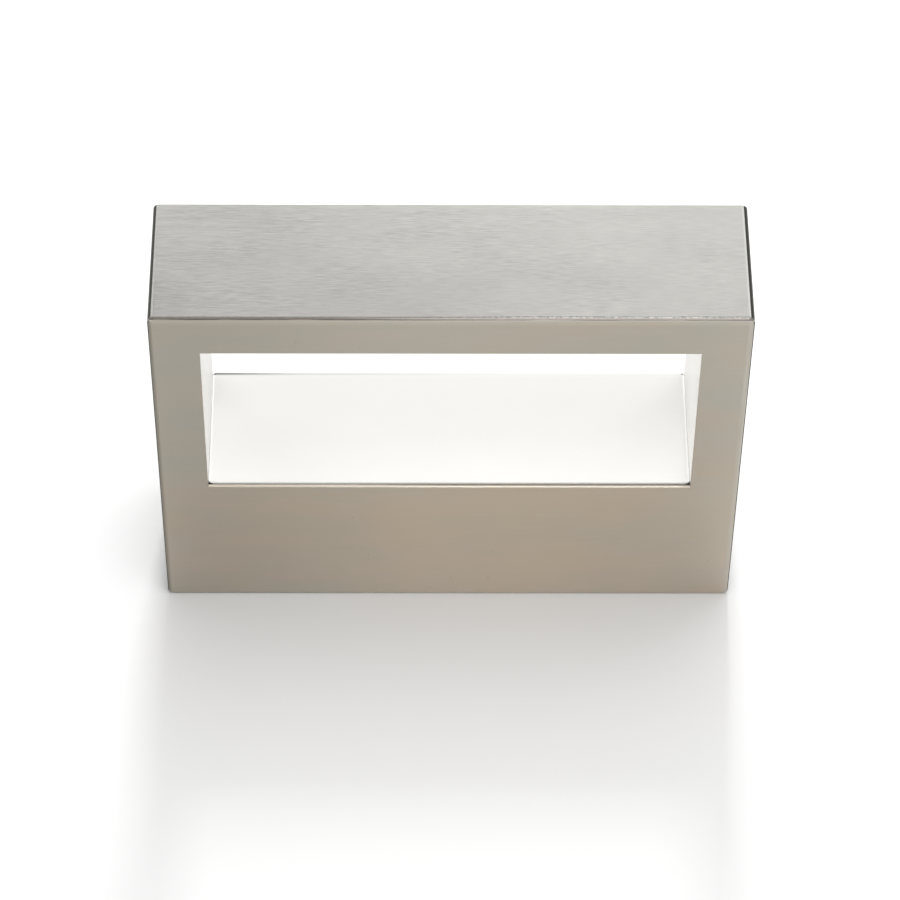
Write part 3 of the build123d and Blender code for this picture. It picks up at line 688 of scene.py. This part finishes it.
chip_pitch = 0.012
gel_half_length, gel_half_width, gel_blur = 0.0013, 0.0010, 0.0001
chip_cup, tree, shader = start_finish("chip_cup")
place = axes(tree, "Object")
along = sums(tree, "PINGPONG", place["X"], chip_pitch / 2)
athwart = sums(tree, "ABSOLUTE", sums(tree, "SUBTRACT", place["Y"], lamp_y))
in_length = step(tree, along, gel_half_length + gel_blur, gel_half_length - gel_blur)
in_width = step(tree, athwart, gel_half_width + gel_blur, gel_half_width - gel_blur)
phosphor = sums(tree, "MULTIPLY", in_length, in_width)
speckle = grain(tree, 3000, 2.0)
cup = two_tone(tree, speckle, (0.82, 0.82, 0.80), (0.88, 0.88, 0.86))
gel = two_tone(tree, speckle, (0.78, 0.52, 0.06), (0.86, 0.64, 0.12))
gloss = step(tree, phosphor, 0.0, 1.0, 0.45, 0.2)
lay_on(tree, shader, mixed(tree, phosphor, cup, gel), gloss, speckle, 0.00001)
dress(chip_cup, "led_chips")

socket_nylon = grained("socket_nylon", 600, (0.78, 0.76, 0.68), (0.84, 0.82, 0.75), (0.35, 0.5), 0.00001)
dress(socket_nylon, "board_connector")
dress(fastener_zinc, "board_screws")


# Gear tray: a plated steel sheet that carries the driver and the terminal block. The zinc has frozen in
# small flat crystals, each of which catches the light in its own way.

def zinc_spangle(name, cells):
    """Zinc with a tone and a roughness for each crystal, and a finer bloom over all of them."""
    finish, tree, shader = start_finish(name, Metallic=1.0)
    spot = shader_node(tree, "TexCoord").outputs["Object"]
    crystals = shader_node(tree, "TexVoronoi", Vector=spot, Scale=cells, Randomness=1.0)
    crystal = shader_node(tree, "SeparateColor", Color=crystals.outputs["Color"]).outputs["Red"]
    bloom = grain(tree, 90, 4.0)
    tone = sums(tree, "MULTIPLY", sums(tree, "ADD", crystal, bloom), 0.5)
    colour = tones(tree, tone, (0.25, (0.50, 0.52, 0.54)), (0.75, (0.66, 0.68, 0.69)))
    lay_on(tree, shader, colour, step(tree, tone, 0.2, 0.8, 0.46, 0.28), bloom, 0.00002)
    return finish


dress(zinc_spangle("tray_zinc", 240.0), "gear_tray")
dress(fastener_zinc, "tray_nuts")


# Driver: a black moulded case, filled solid, with an ear at each end for its screws. The mould was
# spark-eroded, so the plastic has a fine even grain, with a polished line where its two halves met.

driver_low, driver_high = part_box("led_driver")
parting_y = driver_high.y - 0.004
parting_half, parting_core, parting_depth = 0.00025, 0.0001, 3.0
parting_black = (0.008, 0.008, 0.009)
driver_case, tree, shader = start_finish("driver_case")
place = axes(tree, "Object")
sparks = grain(tree, 2200, 2.0)
patches = grain(tree, 60)
off_line = sums(tree, "ABSOLUTE", sums(tree, "SUBTRACT", place["Y"], parting_y))
parting = step(tree, off_line, parting_half, parting_core)
case_tone = two_tone(tree, patches, (0.022, 0.022, 0.024), (0.034, 0.034, 0.036))
case_tone = mixed(tree, parting, case_tone, parting_black)
relief = sums(tree, "SUBTRACT", sparks, sums(tree, "MULTIPLY", parting, parting_depth))
lay_on(tree, shader, case_tone, varied(tree, patches, 0.45, 0.6), relief, 0.00004)
dress(driver_case, "led_driver")
dress(fastener_zinc, "driver_screws")


# Terminal block: moulded nylon with a tunnel for each pole, brass sleeves in the tunnels, open wells over
# the clamp screws and two screws that hold it on the tray. The lead clip is the same nylon.

nylon = grained(
    "nylon", 300, (0.72, 0.70, 0.62), (0.82, 0.80, 0.72), (0.34, 0.5), 0.00002,
    Subsurface_Weight=0.2, Subsurface_Radius=(0.002, 0.002, 0.0015)
)
brass = grained(
    "brass", 700, (0.60, 0.42, 0.16), (0.76, 0.57, 0.26), (0.24, 0.42), 0.00001, Metallic=1.0
)
dress(nylon, "terminal_block", "lead_clip")
dress(brass, "terminal_sleeves")
dress(fastener_zinc, "terminal_screws", "terminal_fixing_screws")


# Earth point: a brass pillar on the gear tray. A tinned ring tag, crimped on the earth lead, lies on it
# under a plated nut.

tin = grained("tin", 800, (0.58, 0.58, 0.56), (0.72, 0.72, 0.69), (0.3, 0.5), 0.00001, Metallic=1.0)
dress(brass, "earth_pillar")
dress(tin, "earth_tag")
dress(fastener_zinc, "earth_nut")


# Leads: stranded wire in soft coloured sleeves. Two run from the driver to the terminals, the earth lead
# from its tag, and the lamp's lead from the driver up inside the left post, through the clip, to the board.

def lead_line(route):
    """Points along a smooth NURBS line whose control points are the route's points."""
    curve = bpy.data.curves.new("route", "CURVE")
    curve.dimensions = "3D"
    curve.resolution_u = 24
    spline = curve.splines.new("NURBS")
    spline.points.add(len(route) - 1)
    spline.points.foreach_set("co", np.column_stack([route, np.ones(len(route))]).ravel())
    spline.order_u = 3
    spline.use_endpoint_u = True
    holder = bpy.data.objects.new("route", curve)
    drawn = bpy.data.meshes.new_from_object(holder)
    line = np.empty(3 * len(drawn.vertices))
    drawn.vertices.foreach_get("co", line)
    bpy.data.objects.remove(holder)
    bpy.data.meshes.remove(drawn)
    bpy.data.curves.remove(curve)
    return line.reshape(-1, 3)


def sleeve(line, radius, columns=25):
    """A round tube about a line that lies in one upright plane facing the front: at each point a circle
    across the line's course, shrunk to nothing at a doubled first and last point to close the ends."""
    along = np.gradient(line, axis=0)
    along = along / np.linalg.norm(along, axis=1, keepdims=True)
    facing = np.array(rearwards, float)
    aside = np.cross(along, facing)
    angle = np.linspace(0, 2 * pi, columns)[:, None]
    circle = np.cos(angle) * facing + np.sin(angle) * aside[:, None]
    tube = line[:, None] + radius * circle
    ends = line[[0, -1], None] * np.ones((1, columns, 1))
    return np.concatenate([ends[:1], tube, ends[1:]])


def lead_plastic(name, dark, light):
    """Soft glossy plastic with slight waves along it from the extruder."""
    return grained(name, wave_cells, dark, light, lead_gloss, wave_depth)


def bowed(name, bow):
    """The route of a short lead along x through a node's middle, bowed up and down by this much."""
    low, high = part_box(name)
    y, z = (low.y + high.y) / 2, (low.z + high.z) / 2
    third = (high.x - low.x) / 3
    return [(low.x, y, z), (low.x + third, y, z + bow), (high.x - third, y, z - bow), (high.x, y, z)]


lead_radius, lamp_lead_radius = 0.0011, 0.0015
wave_cells, wave_depth, lead_gloss = (260, 900, 900), 0.00002, (0.32, 0.46)
brown = lead_plastic("brown_plastic", (0.075, 0.028, 0.012), (0.10, 0.04, 0.018))
blue = lead_plastic("blue_plastic", (0.010, 0.035, 0.20), (0.018, 0.055, 0.28))
white = lead_plastic("white_plastic", (0.74, 0.74, 0.72), (0.82, 0.82, 0.80))

quarter_turn = 0.25
striped, tree, shader = start_finish("green_yellow_plastic")
unrolled = shader_node(tree, "TexCoord").outputs["UV"]
turn = shader_node(tree, "SeparateXYZ", Vector=unrolled).outputs["Y"]
stripe = step(tree, sums(tree, "PINGPONG", turn, quarter_turn), 0.11, 0.14)
waves = grain(tree, wave_cells, 4.0)
green = two_tone(tree, waves, (0.02, 0.16, 0.03), (0.035, 0.23, 0.045))
yellow = two_tone(tree, waves, (0.60, 0.45, 0.02), (0.70, 0.55, 0.04))
banded = mixed(tree, stripe, green, yellow)
lay_on(tree, shader, banded, varied(tree, waves, *lead_gloss), waves, wave_depth)

supply = [
    ("brown_lead", brown, "lead_brown", "live_lead", 0.0012),
    ("blue_lead", blue, "lead_blue", "neutral_lead", -0.0010),
    ("earth_stripe_lead", striped, "lead_earth", "earth_lead", 0.0),
]
for name, finish, slot, node, bow in supply:
    made(name, [sleeve(lead_line(bowed(node, bow)), lead_radius)], finish, "casing", slot, node)

driver_ear = 0.006
lamp_lead_low, lamp_lead_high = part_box("led_lead")
post_x = lamp_lead_low.x + lamp_lead_radius
gear_z = lamp_lead_low.z + lamp_lead_radius
board_z = lamp_lead_high.z - lamp_lead_radius
driver_end, socket_end = driver_low.x + driver_ear, board_low.x
lower_reach, upper_reach = driver_end - post_x, socket_end - post_x
route = [
    (driver_end, lamp_y, gear_z),
    (post_x, lamp_y, gear_z),
    (post_x, lamp_y, gear_z + lower_reach),
    (post_x, lamp_y, board_z - upper_reach),
    (post_x, lamp_y, board_z),
    (socket_end, lamp_y, board_z),
]
made("lamp_lead", [sleeve(lead_line(route), lamp_lead_radius)], white, "casing", "lead_white", "led_lead")


# Retaining screws: stainless set screws with a hexagon socket, driven from below through nuts welded in
# the underside until their flat tips bear on the wall plate.

def set_screw(node, columns=49):
    """A set screw as one turned surface: from a point on the axis down the socket's six flats, whose radius
    is half the width across flats over the cosine of the angle from the nearest flat, out across the lower
    end, up the thread and in over the flat tip."""
    low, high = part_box(node)
    angle = np.linspace(0, 2 * pi, columns)
    to_flat = (angle + pi / 6) % (pi / 3) - pi / 6
    flats = socket_flats / 2 / np.cos(to_flat)
    depths = np.array([drill_depth, socket_depth, socket_bevel, 0.0])[:, None] * np.ones(columns)
    socket = np.stack([0 * flats, flats, flats, flats * bevel_flare])
    radius, height = thread(high.z - low.z, screw_radius, m4_pitch, m4_flank, columns)
    start = ((low.x + high.x) / 2, (low.y + high.y) / 2, low.z)
    return turned(np.vstack([socket, radius[1:]]), np.vstack([depths, height[1:]]), start, upwards)


socket_flats, socket_depth = 0.002, 0.0025
drill_depth, socket_bevel, bevel_flare = 1.15 * socket_depth, 0.0002, 1.1
screw_radius = 0.00195
screw_steel = grained(
    "screw_steel", (300, 300, 2600), (0.40, 0.395, 0.38), (0.54, 0.53, 0.51), (0.22, 0.4), 0.00001,
    Metallic=1.0
)
for side in ("left", "right"):
    node = "retaining_screw_" + side
    made(side + "_set_screw", [set_screw(node)], screw_steel, side + "_screw", "retaining_steel", node)
dress(fastener_zinc, "clamp_nuts")


# Wall plate: a zinc-coated steel frame with a flange all round, slotted for the two wall screws. It stays
# on the wall, and the casing slides over it.

dress(zinc_spangle("plate_zinc", 150.0), "wall_plate")


# Wall gasket: black closed-cell foam stuck on the back of the wall plate, cut as a frame round the wiring
# space and an arch round the window. Its skin shows the cells, and its edges are rounded by the cutter.

def foam_strip(inner, outer, width):
    """A strip between two lines side by side, with a rounded section and a skin pushed in at random."""
    section = [(0, 0), (width, 0), (width, foam_thickness), (0, foam_thickness)]
    section = spaced(eased(section, foam_round, 5), foam_step)
    strip = carried(inner, outer, section / (width, 1.0))
    dents = foam_draws.random(strip.shape[:2]) * dent_depth
    dents[:, -1] = dents[:, 0]
    dents[-1] = dents[0]
    strip[..., 2] -= dents * smooth(strip[..., 2], foam_thickness / 2, foam_thickness)
    return strip


def at_stations(line, count=400):
    """This many points at even steps of the line's own point numbers, so that like lines keep side by
    side."""
    numbers = np.linspace(0, 1, count) * (len(line) - 1)
    return np.column_stack([np.interp(numbers, np.arange(len(line)), axis) for axis in line.T])


def arch_corners(half_x, head):
    """The corners of an arch about the middle line, from its right foot over its head to its left foot."""
    return [(half_x, arch_foot), (half_x, head), (-half_x, head), (-half_x, arch_foot)]


foam, tree, shader = start_finish("foam")
spot = shader_node(tree, "TexCoord").outputs["Object"]
bubbles = shader_node(tree, "TexVoronoi", Vector=spot, Scale=1500.0).outputs["Distance"]
dust = grain(tree, 70, 4.0)
skin = two_tone(tree, dust, (0.022, 0.022, 0.023), grey(0.05))
skin = mixed(tree, step(tree, bubbles, 0.3, 0.05, 0.0, 0.6), skin, grey(0.008))
lay_on(tree, shader, skin, varied(tree, dust, 0.8, 0.95), bubbles, 0.00015)

foam_draws = np.random.default_rng(11)
gasket_low, gasket_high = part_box("wall_gasket")
foam_thickness = gasket_high.y - gasket_low.y
foam_half, strip_width, cut_corner = gasket_high.x, 0.005, 0.003
foam_round, foam_step, dent_depth = 0.0004, 0.0006, 0.00006
foam_clear = 0.0016
arch_half = foam_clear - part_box("lead_clip")[1].x
arch_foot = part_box("window_lining")[0].z - foam_clear
arch_head = seal_low.z + foam_clear

pocket = frame_corners(foam_half - strip_width, gasket_low.z + strip_width, arch_foot - strip_width)
pocket = at_stations(eased(pocket, cut_corner))
border = at_stations(eased(frame_corners(foam_half, gasket_low.z, arch_foot), cut_corner))
frame_strip = foam_strip(pocket, border, strip_width)
arch_inner = at_stations(eased(arch_corners(arch_half, arch_head), cut_corner, closed=False))
arch_outer = at_stations(eased(arch_corners(foam_half, gasket_high.z), cut_corner, closed=False))
arch_strip = foam_strip(arch_inner, arch_outer, foam_half - arch_half)
ends = arch_strip[[0, -1]].mean(1, keepdims=True) * np.ones((1, arch_strip.shape[1], 1))
arch_strip = np.concatenate([ends[:1], arch_strip, ends[1:]])
strips = [strip[..., [0, 2, 1]] + (0, gasket_low.y, 0) for strip in (frame_strip, arch_strip)]
foam_gasket = made("foam_gasket", strips, foam, "wall_mount", "foam", "wall_gasket")


# Cable grommet: a moulded rubber bush that snaps into the wall plate, with a groove for the plate's edge
# and rounded lips on both sides.

rubber = grained("rubber", 500, grey(0.014), grey(0.028), (0.55, 0.75), 0.00002)
grommet_low, grommet_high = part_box("cable_grommet")
plate_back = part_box("wall_plate")[1].y
wall_sheet = 0.0015
front_lip = plate_back - wall_sheet
lip, neck, bore = grommet_high.x, 0.00595, 0.004
bore_round, lip_round, inner_round, neck_round = 0.0005, 0.0006, 0.0003, 0.0001
grommet_columns = 73
profile = [
    (bore, grommet_low.y), (lip, grommet_low.y), (lip, front_lip), (neck, front_lip),
    (neck, plate_back), (lip, plate_back), (lip, grommet_high.y), (bore, grommet_high.y),
]
rounds = [bore_round, lip_round, inner_round, neck_round]
profile = eased(profile, rounds + rounds[::-1])[:, None] * np.ones((1, grommet_columns, 1))
bush = turned(profile[..., 0], profile[..., 1], (0, 0, 0), rearwards)
made("rubber_grommet", [bush], rubber, "wall_mount", "rubber", "cable_grommet")


# Studio: a wide pale floor under the light, an even white surround and seven soft boxes. Three stand
# behind and above, of which the far one is screened off the band's glossy top, and the four weaker ones
# at the sides are screened off the floor.

def soft_box(name, place, width, height, power):
    """A lamp of this width and height at a place, turned to face the light's middle."""
    lamp = bpy.data.lights.new(name, "AREA")
    lamp.shape = "RECTANGLE"
    lamp.size = width
    lamp.size_y = height
    lamp.energy = power
    holder = bpy.data.objects.new(name, lamp)
    bpy.context.scene.collection.objects.link(holder)
    way = Vector(light_middle) - Vector(place)
    holder.location = place
    holder.rotation_euler = way.to_track_quat("-Z", "Y").to_euler()
    return holder


floor_reach, floor_gap = 8.0, 0.0001
floor_z = float(cad_box[0].z) - floor_gap
floor_mesh = bpy.data.meshes.new("floor")
edges = np.array([-floor_reach, floor_reach])
corners = np.stack(np.meshgrid(edges, edges), -1).reshape(-1, 2)
corners = np.column_stack([corners, np.full(4, floor_z)])
floor_mesh.from_pydata(corners.tolist(), [], [(0, 1, 3, 2)])
floor = bpy.data.objects.new("floor", floor_mesh)
bpy.context.scene.collection.objects.link(floor)
floor_paint, tree, shader = start_finish("floor_paint", Roughness=0.35)
paint = two_tone(tree, grain(tree, 3, 2.0), grey(0.90), grey(0.91))
tree.links.new(paint, shader.inputs["Base Color"])
floor_mesh.materials.append(floor_paint)

light_middle = (0, 0, 0.03)
far_box = soft_box("far_box", (0.05, 1.6, 0.8), 0.3, 0.8, 22.5)
soft_box("high_box", (0.2, 0.4, 1.7), 1.2, 1.2, 10.2)
soft_box("front_box", (0.15, -0.35, 1.7), 0.5, 0.5, 4.3)
screened = [
    soft_box("left_box", (-1.0, 0.9, 0.9), 0.8, 0.8, 6.0),
    soft_box("right_box", (1.0, 0.9, 0.9), 0.8, 0.8, 2.0),
    soft_box("left_fill", (-0.95, -0.75, 0.38), 0.5, 0.5, 1.6),
    soft_box("right_fill", (0.95, -0.75, 0.38), 0.5, 0.5, 1.2),
]
off_the_floor = bpy.data.collections.new("off_the_floor")
off_the_band = bpy.data.collections.new("off_the_band")
for piece in bpy.context.scene.objects:
    if piece.type == "MESH" and piece != floor:
        off_the_floor.objects.link(piece)
    if piece.type == "MESH" and piece != nodes["outer_band"]:
        off_the_band.objects.link(piece)
for lamp in screened:
    lamp.light_linking.receiver_collection = off_the_floor
far_box.light_linking.receiver_collection = off_the_band

world = bpy.data.worlds.new("surround")
world.use_nodes = True
surround = world.node_tree.nodes["Background"]
surround.inputs["Color"].default_value = (1.0, 1.0, 1.0, 1.0)
surround.inputs["Strength"].default_value = 0.56
bpy.context.scene.world = world
bpy.context.scene.view_settings.view_transform = "Standard"


# Camera: in front of the light, close to its middle line and about 51 degrees above it, with a long lens.
# Its place and its turn were fitted to the corners of the casing and the edges of the window.

camera_data = bpy.data.cameras.new("camera")
camera_data.sensor_width = 36.0
camera_data.lens = 159.3
camera = bpy.data.objects.new("camera", camera_data)
camera.location = (-0.01075, -0.81128, 1.00465)
camera.rotation_euler = (radians(38.7468), radians(-0.4284), radians(-0.2746))
bpy.context.scene.collection.objects.link(camera)
bpy.context.scene.camera = camera
